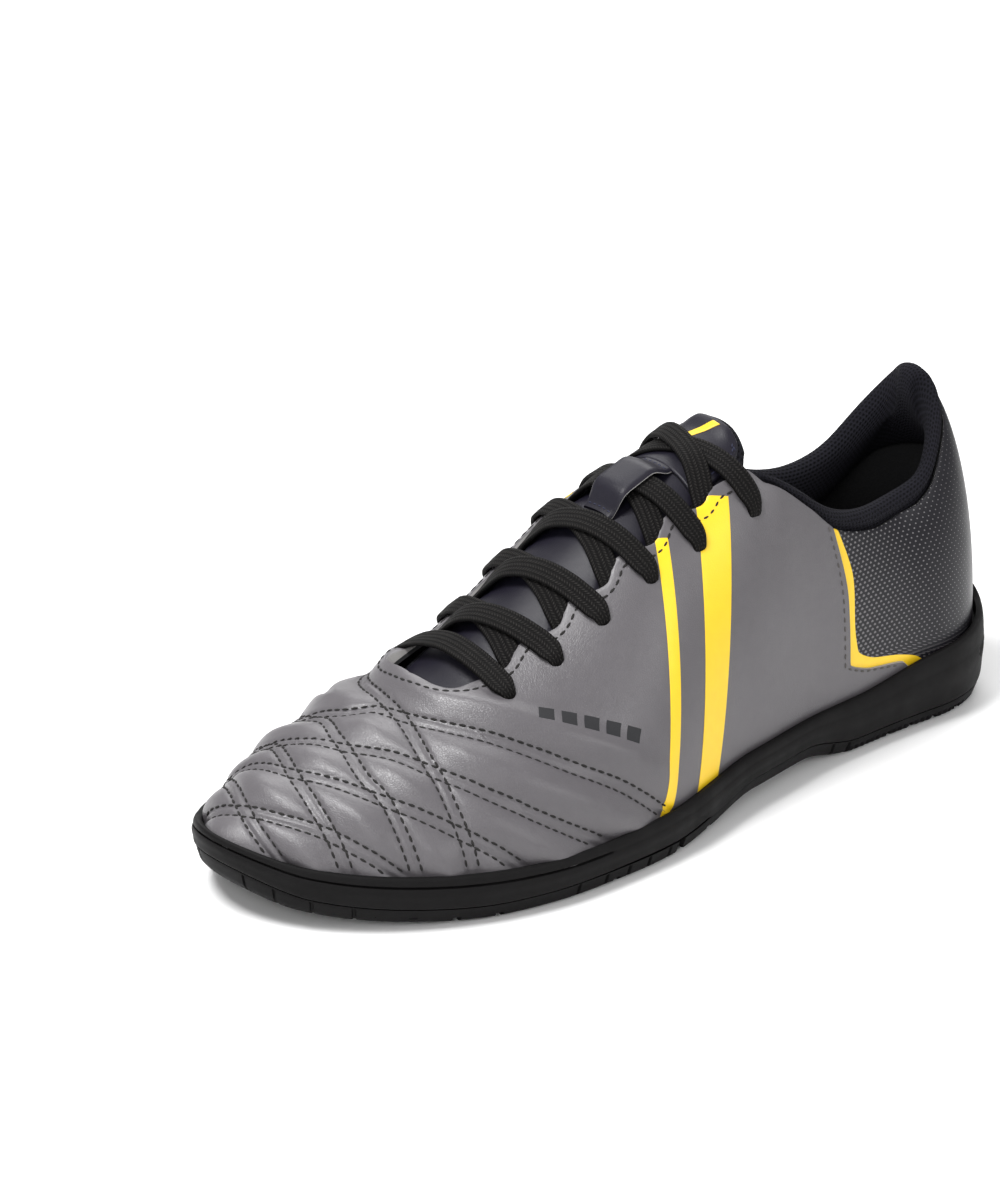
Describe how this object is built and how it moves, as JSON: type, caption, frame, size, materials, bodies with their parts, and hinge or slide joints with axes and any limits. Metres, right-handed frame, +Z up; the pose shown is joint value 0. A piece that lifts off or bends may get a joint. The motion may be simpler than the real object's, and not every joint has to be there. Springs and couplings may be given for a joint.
{
  "type": "indoor soccer shoe",
  "caption": "Left low-cut indoor soccer shoe with a stitched leather upper, padded collar, tongue, crossed flat laces and a low two-layer rubber sole.",
  "frame": {"origin": "centre of the shoe's bounding box in plan, on the floor that the sole stands on", "axes": "toe towards -X, heel towards +X, outer side of the foot towards -Y, +Z up"},
  "size_m": [0.286, 0.106, 0.1057],
  "materials": {
    "upper": "semi-gloss, fine grain",
    "collar_lining": "matt mesh knit",
    "tongue": "semi-gloss, smooth",
    "tongue_patch": "semi-gloss, smooth",
    "lace_loop": "semi-gloss, smooth",
    "insole": "matt knit",
    "midsole": "matt, fine grain",
    "outsole": "matt, fine grain",
    "lace": "matt braid"
  },
  "bodies": {
    "root": {"upper": "upper", "collar_lining": "collar_lining", "tongue": "tongue", "tongue_patch": "tongue_patch", "lace_loop": "lace_loop", "insole": "insole", "midsole": "midsole", "outsole": "outsole", "lace_bar": "lace", "lace_cross_1": "lace", "lace_cross_2": "lace", "lace_cross_3": "lace", "lace_cross_4": "lace", "lace_cross_5": "lace"}
  },
  "joints": []
}
